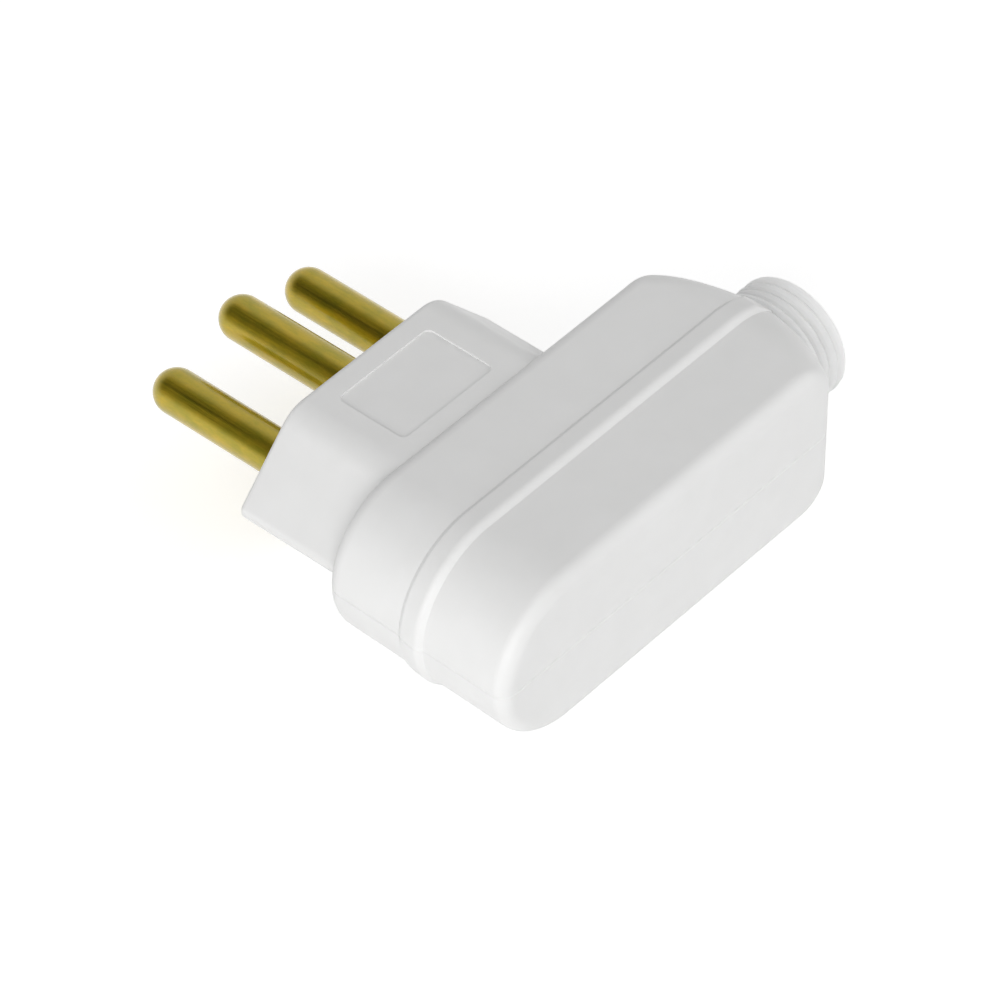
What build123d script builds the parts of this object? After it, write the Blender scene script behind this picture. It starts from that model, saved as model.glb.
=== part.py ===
from build123d import *
from math import cos, pi, sin
import os

# A rewireable earthed power plug with its cable outlet at the side.
# +Y runs along the pins and out of their tips, +X runs to the cable gland, and +Z is up.
# The origin is on the engagement face, midway between the line and neutral pins. Sizes are in millimetres.

# Pins
pin_diameter = 4.8
pin_pitch = 19.0
earth_rise = 3.0
pin_reach = 18.0
pin_groove_diameter = 4.2
pin_collar_diameter = 7.0
pin_collar_width = 2.0
pin_clearance = 0.06

# Neck that enters the socket
neck_width = 36.2
neck_flat_width = 20.6
neck_height = 16.8
neck_length = 12.95
neck_side_round = 1.0
neck_shoulder_round = 4.0
neck_nose_round = 0.7
front_wall = 3.0
pin_wall = 2.0

# Bare label recess on top of the neck
label_width = 13.0
label_length = 8.5
label_depth = 0.2
label_corner = 0.8
label_setback = 2.7

# Body across the neck: a front band, a raised rib and a back band, carried round both ends.
# It grows a little from its front to its back. The rib has a small step, a long rise and a short fall.
body_height = 18.0
body_flare = 0.44
front_depth = 9.45
rib_step = 0.45
rib_step_proud = 0.3
rib_rise = 2.0
rib_proud = 0.48
rib_fall = 0.65
rib_shoulder_proud = 0.25
back_depth = 10.13
front_edge_round = 1.7
rib_step_round = 0.4
rib_round = 0.9
back_edge_round = 1.5
near_reach = 19.8
far_reach = 34.5

# Shoulder that narrows the far end down to the gland: its sides and its top start at two corners,
# and it is cut off a little before its taper would have come down to the gland's rings
shoulder_end = 30.8
shoulder_corner = 27.25
shoulder_top_corner = 28.6
taper_end = 31.3
taper_end_radius = 6.75
taper_end_flat = 0.03
shoulder_run = 10.0
shoulder_root_round = 0.5
shoulder_round = 3.5
shoulder_round_share = 1.42

# Shell walls and the parting line at the height of the line and neutral pins
wall = 1.8
seam_size = 0.15
barrier_thickness = 1.2
tongue_clearance = 0.1

# Terminals at the pins' rear ends
terminal_width = 7.0
terminal_length = 7.0
terminal_height = 5.0
terminal_gap = 0.4
terminal_screw_diameter = 3.5
terminal_head_diameter = 5.6
terminal_head_height = 2.0
clamp_plate_size = 6.4
clamp_plate_thickness = 1.0

# Case screws, driven from below into blind bosses of the upper shell
case_screw_diameter = 3.0
case_head_diameter = 5.0
case_head_height = 1.9
case_screw_length = 11.0
case_head_seat = 5.0
case_boss_diameter = 6.4
case_post_diameter = 7.2
case_post_gap = 0.3
screw_clearance = 0.05
head_clearance = 0.25
screw_point = 0.3
screw_head_edge = 0.35

# Ringed cable gland, trapped by its flange between the shells
gland_bore = 8.8
gland_neck_diameter = 11.0
gland_flange_diameter = 13.4
gland_flange_width = 1.4
gland_inside_length = 4.3
gland_lip = 1.6
gland_collar_diameter = 14.0
gland_collar_width = 1.55
gland_ring_diameter = 13.3
gland_groove_diameter = 12.3
gland_ring_pitch = 1.25
gland_ring_count = 3
gland_ring_facets = 6
gland_gap = 0.1
gland_clearance = 0.1

# Cord grip behind the gland
grip_bore = 8.2
grip_thickness = 1.3
grip_length = 5.0
grip_ear_thickness = 2.0
grip_side_gap = 0.35
grip_head_margin = 0.1
grip_screw_diameter = 2.2
grip_head_diameter = 3.6
grip_head_height = 1.4
grip_screw_length = 7.0
grip_post_diameter = 4.2
grip_setback = 3.3
grip_saddle_thickness = 2.0

# Screw slots
slot_width = 0.8
slot_depth = 0.8

# Places that follow from the sizes above
pin_radius = pin_diameter / 2
pin_hole_radius = pin_radius + pin_clearance
pin_groove_radius = pin_groove_diameter / 2
face_hole_radius = pin_groove_radius + pin_clearance
pin_places = {
    "line": (-pin_pitch / 2, 0.0),
    "neutral": (pin_pitch / 2, 0.0),
    "earth": (0.0, earth_rise),
}
body_front = -neck_length
rib_start = body_front - front_depth
rib_end = rib_start - rib_step - rib_rise - rib_fall
body_back = rib_end - back_depth
body_middle = (body_front + body_back) / 2
body_half = body_height / 2
near_centre = body_half - near_reach
far_centre = far_reach - body_half
inside_height = body_half - wall
inside_front = body_front - wall
inside_back = body_back + wall
collar_slot = pin_collar_width + 2 * pin_clearance
pin_wall_front = -front_wall - collar_slot
pin_wall_back = pin_wall_front - pin_wall
terminal_front = inside_front - terminal_gap
terminal_middle = terminal_front - terminal_length / 2
terminal_back = terminal_front - terminal_length
gland_inner_end = shoulder_end - gland_inside_length
gland_rings_start = shoulder_end + gland_gap
gland_flange_end = shoulder_end - gland_lip
grip_middle = gland_inner_end - grip_setback
grip_ear_reach = (inside_front - inside_back) / 2 - grip_side_gap
grip_screw_offset = grip_ear_reach - grip_head_diameter / 2 - grip_head_margin
post_setback = case_post_diameter / 2 + case_post_gap
near_screw_place = (pin_places["line"][0], inside_back + post_setback)
far_screw_place = (
    (pin_places["neutral"][0] + terminal_width / 2 + grip_middle - grip_length / 2) / 2,
    inside_front - post_setback,
)
seat_overlap = wall / 2
touch = 1e-4


def block(x_range, y_range, z_range):
    """A box between two limits on each axis."""
    size = [high - low for low, high in (x_range, y_range, z_range)]
    middle = [(high + low) / 2 for low, high in (x_range, y_range, z_range)]
    return Pos(*middle) * Box(*size)


def rod_x(y, z, radius, start, end):
    """A round rod along X."""
    return extrude(Plane.YZ.offset(start) * Pos(y, z) * Circle(radius), end - start)


def rod_y(x, z, radius, start, end):
    """A round rod along Y, from a forward start back to an end."""
    return extrude(Plane.XZ.offset(-start) * Pos(x, z) * Circle(radius), start - end)


def rod_z(x, y, radius, start, end):
    """A round rod along Z."""
    return extrude(Plane.XY.offset(start) * Pos(x, y) * Circle(radius), end - start)


def round_corner(face, corner, radius):
    """Round the corner of a flat face that lies nearest to a point."""
    nearest = face.vertices().sort_by_distance((*corner, 0))[0]
    return fillet(nearest, radius)


def half_height(y):
    """Half the body's height at a depth, which grows from its front to its back."""
    return body_half + body_flare * (body_front - y) / (body_front - body_back)


def body_half_profile():
    """Half section of the plain body, from the parting line to its top."""
    return make_face(
        Polyline(
            (body_front, 0),
            (body_front, half_height(body_front)),
            (body_back, half_height(body_back)),
            (body_back, 0),
            close=True,
        )
    )


def rib_half_profile():
    """Half section of the raised rib: a small step, a long rise to a round crest and a short fall."""
    step_top = rib_start - rib_step
    crest_top = step_top - rib_rise
    step = (step_top, half_height(step_top) + rib_step_proud)
    crest = (crest_top, half_height(crest_top) + rib_proud)
    root = inside_height + seat_overlap
    corners = [
        (rib_start, root),
        (rib_start, half_height(rib_start)),
        step,
        crest,
        (rib_end, half_height(rib_end)),
        (rib_end, root),
    ]
    section = round_corner(make_face(Polyline(*corners, close=True)), step, rib_step_round)
    return round_corner(section, crest, rib_round)


def inside_half_profile():
    """Half section of the hollow, which keeps one height."""
    middle = (inside_front + inside_back) / 2
    return Pos(middle, inside_height / 2) * Rectangle(inside_front - inside_back, inside_height)


def carried_round(half_profile, near_x, far_x, round_far):
    """Run a half profile along the top and bottom, and turn it round the ends."""
    start = Plane.YZ.offset(near_x)
    bar = extrude(start * (half_profile + mirror(half_profile, about=Plane.XZ)), far_x - near_x)
    solid = bar + revolve(start * half_profile, Axis((near_x, 0, 0), (0, -1, 0)), 180)
    if round_far:
        solid += revolve(Plane.YZ.offset(far_x) * half_profile, Axis((far_x, 0, 0), (0, 1, 0)), 180)
    return solid


def shoulder_waste(proud):
    """What the shoulder takes off the far end: all outside a taper that stands proud of the body's own."""
    root = taper_end - shoulder_run
    half_depth = (body_front - body_back) / 2
    side_slope = (half_depth - taper_end_radius) / (taper_end - shoulder_corner)
    end_half = taper_end_radius + proud
    root_depth = 2 * (end_half + shoulder_run * side_slope)
    top_slope = (half_height(body_middle) - taper_end_radius) / (taper_end - shoulder_top_corner)
    root_height = 2 * (end_half + shoulder_run * top_slope)
    end_size = 2 * end_half
    end_round = end_half - taper_end_flat / 2
    centre = Pos(body_middle, 0)
    wide = Plane.YZ.offset(root) * centre * RectangleRounded(root_depth, root_height, shoulder_root_round)
    narrow = Plane.YZ.offset(taper_end) * centre * RectangleRounded(end_size, end_size, end_round)
    taper = loft([wide, narrow], ruled=True)
    reach = taper_end + shoulder_run
    beyond = block(
        (root, reach),
        (body_middle - root_depth, body_middle + root_depth),
        (-root_height, root_height),
    )
    return beyond - taper


def neck_outline():
    """The six-sided section of the neck."""
    half_width = neck_width / 2
    half_flat = neck_flat_width / 2
    half_neck = neck_height / 2
    sides = [(half_width, 0), (-half_width, 0)]
    shoulders = [(x, z) for x in (half_flat, -half_flat) for z in (half_neck, -half_neck)]
    outline = Polyline(
        sides[0],
        shoulders[0],
        shoulders[2],
        sides[1],
        shoulders[3],
        shoulders[1],
        close=True,
    )
    section = make_face(outline)
    for corner in sides:
        section = round_corner(section, corner, neck_side_round)
    for corner in shoulders:
        section = round_corner(section, corner, neck_shoulder_round)
    return section


def neck_prism(inset, start, end):
    """A length of the neck, drawn in from its outside by an inset."""
    section = neck_outline()
    if inset:
        section = offset(section, -inset)
    return extrude(Plane.XZ.offset(-start) * section, start - end)


def edges_at(solid, y):
    """The edges of a solid that lie in a plane across the pins."""
    return [edge for edge in solid.edges() if all(abs((edge @ part).Y - y) < touch for part in (0, 0.5, 1))]


def shoulder_creases(body):
    """The edges where the shoulder's tapered sides cut the rounded far end."""
    creases = []
    for edge in body.edges():
        middle = edge @ 0.5
        inside_depth = body_back + touch < middle.Y < body_front - touch
        on_shoulder = far_centre + touch < middle.X < taper_end - touch
        if inside_depth and on_shoulder:
            creases.append(edge)
    return creases


def body_form():
    """The outside of the body, with its rib. What the shoulder drops limits the round of its creases."""
    body = carried_round(body_half_profile(), near_centre, far_centre, True) - shoulder_waste(0)
    shoulder_drop = half_height(body_middle) - taper_end_radius
    body = fillet(shoulder_creases(body), min(shoulder_round, shoulder_drop * shoulder_round_share))
    body = fillet(edges_at(body, body_front), front_edge_round)
    body = fillet(edges_at(body, body_back), back_edge_round)
    rib = carried_round(rib_half_profile(), near_centre, far_centre, True)
    body += rib - shoulder_waste(rib_shoulder_proud)
    return body - block((shoulder_end, far_reach), (body_back, body_front), (-body_height, body_height))


def neck_form():
    """The outside of the neck, which runs on into the body's front wall."""
    neck = neck_prism(0, 0, inside_front)
    nose = neck.faces().sort_by(Axis.Y)[-1]
    return fillet(nose.edges(), neck_nose_round)


def inside_space():
    """The hollow for the terminals and wires."""
    hollow = carried_round(inside_half_profile(), near_centre, gland_inner_end, False)
    return hollow + neck_prism(wall, -front_wall, inside_front - seat_overlap)


def inner_ribs():
    """Walls, bosses and posts that stand inside the shells, before they are parted."""
    buried = inside_height + seat_overlap
    ribs = neck_prism(seat_overlap, pin_wall_front, pin_wall_back)
    for side in (-1, 1):
        middle = side * pin_pitch / 4
        span = (middle - barrier_thickness / 2, middle + barrier_thickness / 2)
        ribs += block(span, (terminal_back - terminal_gap, inside_front), (-buried, buried))
    for place in (near_screw_place, far_screw_place):
        ribs += rod_z(*place, case_boss_diameter / 2, 0, buried)
        ribs += rod_z(*place, case_post_diameter / 2, -buried, 0)
    for side in (-1, 1):
        post = body_middle + side * grip_screw_offset
        ribs += rod_z(grip_middle, post, grip_post_diameter / 2, 0, buried)
    saddle = block(
        (grip_middle - grip_saddle_thickness / 2, grip_middle + grip_saddle_thickness / 2),
        (body_middle - grip_screw_offset, body_middle + grip_screw_offset),
        (0, buried),
    )
    return ribs + saddle - rod_x(
        body_middle, 0, grip_bore / 2, grip_middle - grip_length, grip_middle + grip_length
    )


def screw_holes():
    """Clearance holes and head recesses for the case screws, and blind holes for the grip screws."""
    shank = case_screw_diameter / 2 + screw_clearance
    head = case_head_diameter / 2 + head_clearance
    tip = case_screw_length - case_head_seat + screw_point
    holes = Part()
    for place in (near_screw_place, far_screw_place):
        holes += rod_z(*place, shank, -case_head_seat, tip)
        holes += rod_z(*place, head, -body_height, -case_head_seat)
    for side in (-1, 1):
        post = body_middle + side * grip_screw_offset
        depth = grip_screw_length - grip_ear_thickness + screw_point
        holes += rod_z(grip_middle, post, grip_screw_diameter / 2 + screw_clearance, 0, depth)
    return holes


def gland_seat():
    """The passage and flange groove that hold the gland."""
    passage = rod_x(
        body_middle,
        0,
        gland_neck_diameter / 2 + gland_clearance,
        gland_inner_end - seat_overlap,
        shoulder_end + gland_lip,
    )
    groove = rod_x(
        body_middle,
        0,
        gland_flange_diameter / 2 + gland_clearance,
        gland_flange_end - gland_flange_width - gland_clearance,
        gland_flange_end + gland_clearance,
    )
    return passage + groove


def pin_passages():
    """Holes for the three pins: the front wall closes on their grooves, the inner wall on their shanks."""
    passages = Part()
    for x, z in pin_places.values():
        passages += rod_y(x, z, face_hole_radius, pin_clearance, -front_wall - pin_clearance)
        passages += rod_y(x, z, pin_hole_radius, pin_wall_front, pin_wall_back - pin_clearance)
    return passages


def half_form(form, keep):
    """Half of an outside form, its edge broken along the parting line as far as the shoulder."""
    half = split(form, Plane.XY, keep=keep)
    parting = []
    for edge in half.edges():
        in_parting = all(abs((edge @ part).Z) < touch for part in (0, 0.5, 1))
        before_shoulder = edge.bounding_box().max.X < shoulder_corner
        if in_parting and before_shoulder:
            parting.append(edge)
    return chamfer(parting, seam_size)


def earth_tongue(clearance):
    """The filling under the earth pin, which lies above the parting line, in both walls it goes through."""
    height = (0, earth_rise)
    face_half = face_hole_radius - clearance
    inner_half = pin_hole_radius - clearance
    face_part = block((-face_half, face_half), (-front_wall, 0), height)
    return face_part + block((-inner_half, inner_half), (pin_wall_back, pin_wall_front), height)


def make_shells():
    """The two mouldings, parted through the line and neutral pins."""
    body, neck = body_form(), neck_form()
    hollow, ribs = inside_space(), inner_ribs()
    halves = []
    for keep in (Keep.TOP, Keep.BOTTOM):
        half = half_form(body, keep) + half_form(neck, keep)
        half = half - hollow + split(ribs, Plane.XY, keep=keep)
        for cut in (screw_holes(), gland_seat(), pin_passages()):
            half -= cut
        halves.append(half)
    upper, lower = halves
    upper -= earth_tongue(0)
    label_middle = -label_setback - label_length / 2
    label = Plane.XY.offset(neck_height / 2 - label_depth) * Pos(0, label_middle) * RectangleRounded(
        label_width, label_length, label_corner
    )
    upper -= extrude(label, 2 * label_depth)
    lower += earth_tongue(tongue_clearance) - pin_passages()
    return upper, lower


def make_pin(x, z):
    """A turned brass pin: domed tip, plain shank, groove and collar that the shells trap, square terminal."""
    collar_front = -front_wall - pin_clearance
    collar_back = collar_front - pin_collar_width
    collar_radius = pin_collar_diameter / 2
    side = Polyline(
        (pin_radius, pin_reach - pin_radius),
        (pin_radius, pin_clearance),
        (pin_groove_radius, pin_clearance),
        (pin_groove_radius, collar_front),
        (collar_radius, collar_front),
        (collar_radius, collar_back),
        (pin_radius, collar_back),
        (pin_radius, terminal_front),
        (0, terminal_front),
        (0, pin_reach),
    )
    tip = RadiusArc((0, pin_reach), (pin_radius, pin_reach - pin_radius), pin_radius)
    turned = revolve(make_face([side, tip]), Axis.Y)
    head = block(
        (-terminal_width / 2, terminal_width / 2),
        (terminal_back, terminal_front),
        (-terminal_height / 2, terminal_height / 2),
    )
    tapped = rod_z(
        0,
        terminal_middle,
        terminal_screw_diameter / 2 + screw_clearance,
        -terminal_height,
        terminal_height,
    )
    return Pos(x, 0, z) * (turned + head - tapped)


def make_screw(place, seat, diameter, head_diameter, head_height, length):
    """A slotted screw whose head hangs below its seat and whose shank points up."""
    head = rod_z(0, 0, head_diameter / 2, -head_height, 0)
    head = chamfer(head.edges().sort_by(Axis.Z)[0], screw_head_edge)
    slot = block(
        (-head_diameter, head_diameter),
        (-slot_width / 2, slot_width / 2),
        (-head_height, slot_depth - head_height),
    )
    shank = rod_z(0, 0, diameter / 2, 0, length)
    shank = chamfer(shank.edges().sort_by(Axis.Z)[-1], screw_point)
    return Pos(*place, seat) * (head - slot + shank)


def make_clamp_plate(x, z):
    """The square plate that presses the bared wire against the terminal block."""
    seat = z - terminal_height / 2
    half = clamp_plate_size / 2
    plate = block(
        (x - half, x + half),
        (terminal_middle - half, terminal_middle + half),
        (seat - clamp_plate_thickness, seat),
    )
    hole_radius = terminal_screw_diameter / 2 + screw_clearance
    return plate - rod_z(x, terminal_middle, hole_radius, seat - terminal_height, seat)


def make_gland():
    """The sleeve with a collar and rings outside, turned about the cable's axis."""
    bore = gland_bore / 2
    neck = gland_neck_diameter / 2
    flange = gland_flange_diameter / 2
    groove = gland_groove_diameter / 2
    flange_start = gland_flange_end - gland_flange_width
    corners = [
        (gland_inner_end, bore),
        (gland_inner_end, neck),
        (flange_start, neck),
        (flange_start, flange),
        (gland_flange_end, flange),
        (gland_flange_end, neck),
        (gland_rings_start, neck),
        (gland_rings_start, groove),
    ]
    start = gland_rings_start
    rings = [(gland_ring_pitch, gland_ring_diameter)] * gland_ring_count
    for width, diameter in [(gland_collar_width, gland_collar_diameter)] + rings:
        height = diameter / 2 - groove
        for facet in range(1, gland_ring_facets + 1):
            turn = pi * facet / gland_ring_facets
            corners.append((start + width / 2 * (1 - cos(turn)), groove + height * sin(turn)))
        start += width
    corners.append((start, bore))
    return Pos(0, body_middle, 0) * revolve(make_face(Polyline(*corners, close=True)), Axis.X)


def make_cord_grip():
    """The arched strap that presses the cord up against the saddle."""
    inner = grip_bore / 2
    outer = inner + grip_thickness
    lower_half = Pos(0, -outer) * Rectangle(4 * outer, 2 * outer)
    ears = Pos(0, -grip_ear_thickness / 2) * Rectangle(2 * grip_ear_reach, grip_ear_thickness)
    arch = (Circle(outer) & lower_half) + ears - Circle(inner)
    strap = extrude(Plane.YZ.offset(grip_middle - grip_length / 2) * Pos(body_middle, 0) * arch, grip_length)
    for side in (-1, 1):
        place = (grip_middle, body_middle + side * grip_screw_offset)
        strap -= rod_z(*place, grip_screw_diameter / 2 + screw_clearance, -grip_ear_thickness, 0)
    return strap


upper_shell, lower_shell = make_shells()
nodes = {"upper_shell": upper_shell, "lower_shell": lower_shell, "cable_gland": make_gland()}

for name, (pin_x, pin_z) in pin_places.items():
    plate_face = pin_z - terminal_height / 2 - clamp_plate_thickness
    nodes[f"{name}_pin"] = make_pin(pin_x, pin_z)
    nodes[f"{name}_clamp_plate"] = make_clamp_plate(pin_x, pin_z)
    nodes[f"{name}_terminal_screw"] = make_screw(
        (pin_x, terminal_middle),
        plate_face,
        terminal_screw_diameter,
        terminal_head_diameter,
        terminal_head_height,
        clamp_plate_thickness + terminal_height - screw_point,
    )

nodes["cord_grip"] = make_cord_grip()
for name, side in (("front", 1), ("back", -1)):
    nodes[f"cord_grip_screw_{name}"] = make_screw(
        (grip_middle, body_middle + side * grip_screw_offset),
        -grip_ear_thickness,
        grip_screw_diameter,
        grip_head_diameter,
        grip_head_height,
        grip_screw_length,
    )

for name, place in (("near", near_screw_place), ("far", far_screw_place)):
    nodes[f"case_screw_{name}"] = make_screw(
        place,
        -case_head_seat,
        case_screw_diameter,
        case_head_diameter,
        case_head_height,
        case_screw_length,
    )

os.makedirs("parts", exist_ok=True)
for name, solid in nodes.items():
    export_step(solid, f"parts/{name}.step")
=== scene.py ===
import math

import bpy
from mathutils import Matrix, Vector


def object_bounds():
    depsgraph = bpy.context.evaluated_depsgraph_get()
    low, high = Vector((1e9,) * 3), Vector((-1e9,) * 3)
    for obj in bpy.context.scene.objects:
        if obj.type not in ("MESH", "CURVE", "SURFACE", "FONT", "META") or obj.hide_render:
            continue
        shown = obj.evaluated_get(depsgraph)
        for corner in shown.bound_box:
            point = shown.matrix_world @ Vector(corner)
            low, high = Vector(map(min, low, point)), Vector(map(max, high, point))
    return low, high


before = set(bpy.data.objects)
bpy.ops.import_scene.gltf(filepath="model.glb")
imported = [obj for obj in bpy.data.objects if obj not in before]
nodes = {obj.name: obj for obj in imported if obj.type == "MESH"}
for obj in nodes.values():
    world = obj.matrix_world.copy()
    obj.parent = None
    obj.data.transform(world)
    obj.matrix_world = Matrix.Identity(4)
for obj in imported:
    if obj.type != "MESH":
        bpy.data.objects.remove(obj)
cad_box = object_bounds()

# Upper and lower shell: two half mouldings in satin white thermoplastic, parted at the height of the
# outer pins and screwed together from below. Their mould is lightly spark-eroded, so the skin has a
# very fine grain, and the slow cooling of the thick ribs leaves it a touch uneven.

shell_white = (0.80, 0.80, 0.795, 1.0)
shell_shade = (0.782, 0.782, 0.776, 1.0)
shell_roughness = (0.40, 0.52)
shell_glow = (0.12, 0.0006)
moulding_cloud_per_metre = 260.0
moulding_gloss_per_metre = 598.0
moulding_wave_per_metre = 90.0
moulding_wave_depth = 1.2e-5
moulding_grain_per_metre = 5200.0
moulding_grain_depth = 4.0e-6
moulding_ior = 1.49
moulding_glow_tint = (1.0, 0.98, 0.96)


def node_tree(material_name):
    """A fresh node tree with a shader joined to the output, and the place of each point in metres."""
    material = bpy.data.materials.new(material_name)
    material.use_nodes = True
    tree = material.node_tree
    tree.nodes.clear()
    output = tree.nodes.new("ShaderNodeOutputMaterial")
    shader = tree.nodes.new("ShaderNodeBsdfPrincipled")
    tree.links.new(shader.outputs["BSDF"], output.inputs["Surface"])
    place = tree.nodes.new("ShaderNodeTexCoord").outputs["Object"]
    return material, tree, shader, place


def noise(tree, place, per_metre, detail, rough=0.5):
    """Noise of that many lumps per metre."""
    texture = tree.nodes.new("ShaderNodeTexNoise")
    texture.inputs["Scale"].default_value = per_metre
    texture.inputs["Detail"].default_value = detail
    texture.inputs["Roughness"].default_value = rough
    tree.links.new(place, texture.inputs["Vector"])
    return texture.outputs["Fac"]


def ramp(tree, value, low, high, start=0.3, end=0.7):
    """Colours between two ends, spread over part of a noise's range."""
    node = tree.nodes.new("ShaderNodeValToRGB")
    node.color_ramp.elements[0].position = start
    node.color_ramp.elements[1].position = end
    node.color_ramp.elements[0].color = low
    node.color_ramp.elements[1].color = high
    tree.links.new(value, node.inputs["Fac"])
    return node.outputs["Color"]


def level_ramp(tree, value, low, high):
    """Plain levels between two ends, for a roughness."""
    return ramp(tree, value, (low, low, low, 1.0), (high, high, high, 1.0))


def bump(tree, height, depth, under=None):
    """A bump of that depth in metres, on top of another bump."""
    node = tree.nodes.new("ShaderNodeBump")
    node.inputs["Strength"].default_value = 1.0
    node.inputs["Distance"].default_value = depth
    tree.links.new(height, node.inputs["Height"])
    if under is not None:
        tree.links.new(under, node.inputs["Normal"])
    return node.outputs["Normal"]


def moulded_white(material_name, light, shade, roughness, glow):
    """White moulding: faint clouds in the colour, uneven gloss, a fine grain and a slow waviness.

    The glow is the share of the light that goes under the skin, and how far it goes there.
    """
    material, tree, shader, place = node_tree(material_name)
    clouds = noise(tree, place, moulding_cloud_per_metre, detail=3.0)
    tree.links.new(ramp(tree, clouds, shade, light), shader.inputs["Base Color"])
    gloss = noise(tree, place, moulding_gloss_per_metre, detail=4.0, rough=0.6)
    tree.links.new(level_ramp(tree, gloss, *roughness), shader.inputs["Roughness"])
    waves = bump(tree, noise(tree, place, moulding_wave_per_metre, detail=1.0), moulding_wave_depth)
    grain = noise(tree, place, moulding_grain_per_metre, detail=2.0)
    tree.links.new(bump(tree, grain, moulding_grain_depth, waves), shader.inputs["Normal"])
    shader.inputs["IOR"].default_value = moulding_ior
    shader.inputs["Subsurface Weight"].default_value = glow[0]
    shader.inputs["Subsurface Scale"].default_value = glow[1]
    shader.inputs["Subsurface Radius"].default_value = moulding_glow_tint
    return material


def dress(node_names, material):
    """Give a finish to CAD pieces that are shown as they are."""
    for node_name in node_names:
        nodes[node_name].data.materials.clear()
        nodes[node_name].data.materials.append(material)


dress(
    ("upper_shell", "lower_shell"),
    moulded_white("shell_satin_white", shell_white, shell_shade, shell_roughness, shell_glow),
)

# Line, neutral and earth pins: solid brass rod, drawn to size and turned at the tip, then thinly
# lacquered. Each is trapped between the shells by a groove. Drawing leaves fine lines along it, and
# the metal has mottled to an olive gold.

brass_gold = (0.55, 0.395, 0.020, 1.0)
brass_olive = (0.37, 0.314, 0.014, 1.0)
brass_roughness = (0.36, 0.50)
drawn_line_per_metre = 5200.0
drawn_line_stretch = 0.012
drawn_line_depth = 6.0e-6
tarnish_per_metre = 900.0
tarnish_stretch = 0.35
tarnish_start = 0.35
tarnish_end = 0.65
lacquer_weight = 0.9
lacquer_roughness = 0.15


def stretched(tree, place, scale):
    """Places squeezed along one axis, so that a noise made there runs in long lines."""
    mapping = tree.nodes.new("ShaderNodeMapping")
    mapping.inputs["Scale"].default_value = scale
    tree.links.new(place, mapping.inputs["Vector"])
    return mapping.outputs["Vector"]


def drawn_brass(material_name):
    """Lacquered brass rod: lines along its length, and olive patches where it has tarnished."""
    material, tree, shader, place = node_tree(material_name)
    along_line = stretched(tree, place, (1.0, drawn_line_stretch, 1.0))
    lines = noise(tree, along_line, drawn_line_per_metre, detail=3.0, rough=0.6)
    along_patch = stretched(tree, place, (1.0, tarnish_stretch, 1.0))
    tarnish = noise(tree, along_patch, tarnish_per_metre, detail=6.0, rough=0.7)
    colour = ramp(tree, tarnish, brass_gold, brass_olive, tarnish_start, tarnish_end)
    tree.links.new(colour, shader.inputs["Base Color"])
    tree.links.new(level_ramp(tree, lines, *brass_roughness), shader.inputs["Roughness"])
    tree.links.new(bump(tree, lines, drawn_line_depth), shader.inputs["Normal"])
    shader.inputs["Metallic"].default_value = 1.0
    shader.inputs["Coat Weight"].default_value = lacquer_weight
    shader.inputs["Coat Roughness"].default_value = lacquer_roughness
    return material


dress(("line_pin", "neutral_pin", "earth_pin"), drawn_brass("pin_drawn_brass"))

# Clamp plates: small squares stamped out of brass strip. The strip's rolled grain runs across them,
# and each is held on its terminal block by the screw through its middle.

strip_gold = (0.58, 0.46, 0.16, 1.0)
strip_brown = (0.46, 0.35, 0.11, 1.0)
strip_roughness = (0.30, 0.48)
strip_brown_per_metre = 900.0
strip_grain_per_metre = 3800.0
strip_grain_stretch = 0.05
strip_grain_depth = 5.0e-6


def rolled_strip(material_name):
    """Rolled brass strip: grain along one way, slightly browned."""
    material, tree, shader, place = node_tree(material_name)
    along_grain = stretched(tree, place, (strip_grain_stretch, 1.0, 1.0))
    grain = noise(tree, along_grain, strip_grain_per_metre, detail=3.0, rough=0.6)
    browned = noise(tree, place, strip_brown_per_metre, detail=4.0, rough=0.6)
    tree.links.new(ramp(tree, browned, strip_gold, strip_brown), shader.inputs["Base Color"])
    tree.links.new(level_ramp(tree, grain, *strip_roughness), shader.inputs["Roughness"])
    tree.links.new(bump(tree, grain, strip_grain_depth), shader.inputs["Normal"])
    shader.inputs["Metallic"].default_value = 1.0
    return material


dress(("line_clamp_plate", "neutral_clamp_plate", "earth_clamp_plate"), rolled_strip("clamp_rolled_brass"))

# Screws: slotted, in zinc-plated steel. Three hold the wires, two the cord grip and two the case.
# The plating is a cool, cloudy grey, and the heads keep fine marks from turning.

zinc_pale = (0.66, 0.67, 0.68, 1.0)
zinc_dark = (0.48, 0.49, 0.50, 1.0)
zinc_pale_roughness = 0.26
zinc_dark_roughness = 0.44
zinc_cloud_per_metre = 900.0
zinc_mark_per_metre = 4200.0
zinc_mark_stretch = 0.08
zinc_mark_depth = 4.0e-6


def plated_steel(material_name):
    """Zinc-plated steel: cloudy plating, duller where it is dark, over turning marks."""
    material, tree, shader, place = node_tree(material_name)
    clouds = noise(tree, place, zinc_cloud_per_metre, detail=4.0, rough=0.6)
    along_mark = stretched(tree, place, (zinc_mark_stretch, 1.0, 1.0))
    marks = noise(tree, along_mark, zinc_mark_per_metre, detail=2.0)
    tree.links.new(ramp(tree, clouds, zinc_dark, zinc_pale), shader.inputs["Base Color"])
    dullness = level_ramp(tree, clouds, zinc_dark_roughness, zinc_pale_roughness)
    tree.links.new(dullness, shader.inputs["Roughness"])
    tree.links.new(bump(tree, marks, zinc_mark_depth), shader.inputs["Normal"])
    shader.inputs["Metallic"].default_value = 1.0
    return material


dress([name for name in nodes if "_screw" in name], plated_steel("screw_zinc_plated"))

# Cable gland: a ringed sleeve in the same white as the shells, but softer, so that it grips the cord.
# The soft plastic lets light in deeper, which evens out its rings. Its flange is trapped between the
# shells.

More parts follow.
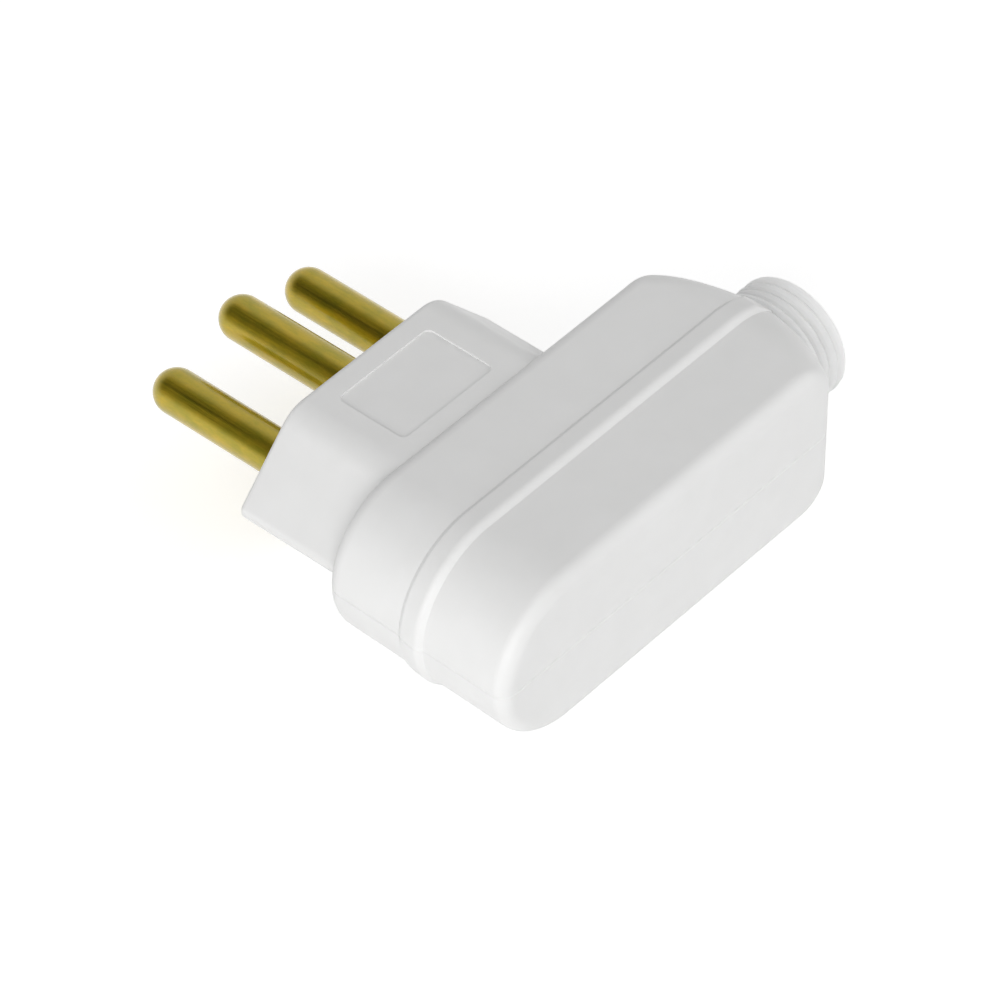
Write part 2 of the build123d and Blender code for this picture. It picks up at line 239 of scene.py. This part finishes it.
gland_white = (0.93, 0.93, 0.925, 1.0)
gland_shade = (0.905, 0.905, 0.90, 1.0)
gland_roughness = (0.46, 0.58)
gland_glow = (1.0, 0.003)

dress(
    ("cable_gland",),
    moulded_white("gland_soft_white", gland_white, gland_shade, gland_roughness, gland_glow),
)

# Cord grip: an arched strap in unpolished white plastic. Two screws hold it down over the cord,
# inside the shells and just behind the gland.

grip_white = (0.76, 0.76, 0.75, 1.0)
grip_shade = (0.70, 0.70, 0.69, 1.0)
grip_roughness = (0.50, 0.66)

dress(
    ("cord_grip",),
    moulded_white("grip_dull_white", grip_white, grip_shade, grip_roughness, shell_glow),
)

# Floor: a plain white sheet that the plug lies on. It bounces light up to the sides and keeps the
# plug's shadow, and it shows as white to the camera and in the metal.

floor_size = 6.0
floor_white = (0.86, 0.86, 0.86, 1.0)
floor_roughness = 0.9
floor_lift = 0.47
lift_white = (1.0, 1.0, 1.0, 1.0)

floor_mesh = bpy.data.meshes.new("floor_sheet")
half_floor = floor_size / 2
floor_level = cad_box[0].z
floor_corners = [(-half_floor, -half_floor), (half_floor, -half_floor)]
floor_corners += [(half_floor, half_floor), (-half_floor, half_floor)]
floor_mesh.from_pydata([(x, y, floor_level) for x, y in floor_corners], [], [(0, 1, 2, 3)])
floor = bpy.data.objects.new("floor_sheet", floor_mesh)
bpy.context.scene.collection.objects.link(floor)


def seen_directly(tree):
    """1 for rays that show the background itself: the camera's own, and those by way of metal or glass."""
    paths = tree.nodes.new("ShaderNodeLightPath")
    total = paths.outputs["Is Camera Ray"]
    for kind in ("Is Glossy Ray", "Is Transmission Ray"):
        joined = tree.nodes.new("ShaderNodeMath")
        joined.operation = "MAXIMUM"
        tree.links.new(total, joined.inputs[0])
        tree.links.new(paths.outputs[kind], joined.inputs[1])
        total = joined.outputs["Value"]
    return total


floor_material, floor_tree, floor_shader, floor_place = node_tree("floor_white")
floor_shader.inputs["Base Color"].default_value = floor_white
floor_shader.inputs["Roughness"].default_value = floor_roughness
floor_shader.inputs["Specular IOR Level"].default_value = 0.0
floor_shader.inputs["Emission Color"].default_value = lift_white
lifted = floor_tree.nodes.new("ShaderNodeMath")
lifted.operation = "MULTIPLY"
lifted.inputs[1].default_value = floor_lift
floor_tree.links.new(seen_directly(floor_tree), lifted.inputs[0])
floor_tree.links.new(lifted.outputs["Value"], floor_shader.inputs["Emission Strength"])
floor_mesh.materials.append(floor_material)

# Studio: an even white room, dimmer where it only lights the plug than where it is seen. The corner
# beyond the pins is unlit, which draws the dark streak along them. One soft lamp fills the near side,
# and a weaker one stands by the gland.

room_light = 0.59
dark_corner_way = Vector((-0.54, 0.47, 0.70)).normalized()
dark_corner_edge = 0.63
dark_corner_core = 0.95
dark_corner_level = 0.05

world = bpy.data.worlds.new("white_room")
bpy.context.scene.world = world
world.use_nodes = True
world_tree = world.node_tree
world_tree.nodes.clear()
world_output = world_tree.nodes.new("ShaderNodeOutputWorld")
lit_room = world_tree.nodes.new("ShaderNodeBackground")
lit_room.inputs["Strength"].default_value = room_light

towards_corner = world_tree.nodes.new("ShaderNodeVectorMath")
towards_corner.operation = "DOT_PRODUCT"
towards_corner.inputs[1].default_value = dark_corner_way
room_way = world_tree.nodes.new("ShaderNodeTexCoord").outputs["Generated"]
world_tree.links.new(room_way, towards_corner.inputs[0])
corner_fade = world_tree.nodes.new("ShaderNodeMapRange")
corner_fade.interpolation_type = "SMOOTHSTEP"
corner_fade.inputs["From Min"].default_value = dark_corner_edge
corner_fade.inputs["From Max"].default_value = dark_corner_core
corner_fade.inputs["To Min"].default_value = 1.0
corner_fade.inputs["To Max"].default_value = dark_corner_level
world_tree.links.new(towards_corner.outputs["Value"], corner_fade.inputs["Value"])

camera_rays = world_tree.nodes.new("ShaderNodeLightPath").outputs["Is Camera Ray"]
white_to_camera = world_tree.nodes.new("ShaderNodeMath")
white_to_camera.operation = "MAXIMUM"
world_tree.links.new(camera_rays, white_to_camera.inputs[0])
world_tree.links.new(corner_fade.outputs["Result"], white_to_camera.inputs[1])
seen_room = world_tree.nodes.new("ShaderNodeBackground")
world_tree.links.new(white_to_camera.outputs["Value"], seen_room.inputs["Strength"])

room_mix = world_tree.nodes.new("ShaderNodeMixShader")
world_tree.links.new(seen_directly(world_tree), room_mix.inputs["Fac"])
world_tree.links.new(lit_room.outputs["Background"], room_mix.inputs[1])
world_tree.links.new(seen_room.outputs["Background"], room_mix.inputs[2])
world_tree.links.new(room_mix.outputs["Shader"], world_output.inputs["Surface"])

plug_middle = (cad_box[0] + cad_box[1]) / 2


def soft_lamp(lamp_name, direction, distance, size, power):
    """A square lamp that faces the plug from a direction, in metres and watts."""
    lamp = bpy.data.lights.new(lamp_name, "AREA")
    lamp.size = size
    lamp.energy = power
    holder = bpy.data.objects.new(lamp_name, lamp)
    aim = Vector(direction).normalized()
    holder.location = plug_middle + aim * distance
    holder.rotation_euler = aim.to_track_quat("Z", "Y").to_euler()
    bpy.context.scene.collection.objects.link(holder)


soft_lamp("near_side_lamp", direction=(-0.86, -0.43, 0.30), distance=0.6, size=0.5, power=2.66)
soft_lamp("gland_side_lamp", direction=(0.78, -0.49, 0.41), distance=0.35, size=0.25, power=0.34)

# Camera: a long lens, level from side to side, looking down over the plug's near rear corner. Its
# place and its focal length in pixels are those at which the pins and the neck take their real size.

camera_azimuth = -48.98
camera_elevation = 44.63
camera_place = (-0.3325, -0.3068, 0.4347)
focal_pixels = 6500.0
image_pixels = 1000.0
sensor_width = 36.0
nearest_seen = 0.01

lens = bpy.data.cameras.new("long_lens")
lens.sensor_width = sensor_width
lens.lens = focal_pixels * sensor_width / image_pixels
lens.clip_start = nearest_seen
camera = bpy.data.objects.new("camera", lens)
camera.location = camera_place
camera.rotation_euler = (math.radians(90.0 - camera_elevation), 0.0, math.radians(camera_azimuth))
bpy.context.scene.collection.objects.link(camera)
bpy.context.scene.camera = camera
bpy.context.scene.view_settings.view_transform = "Standard"
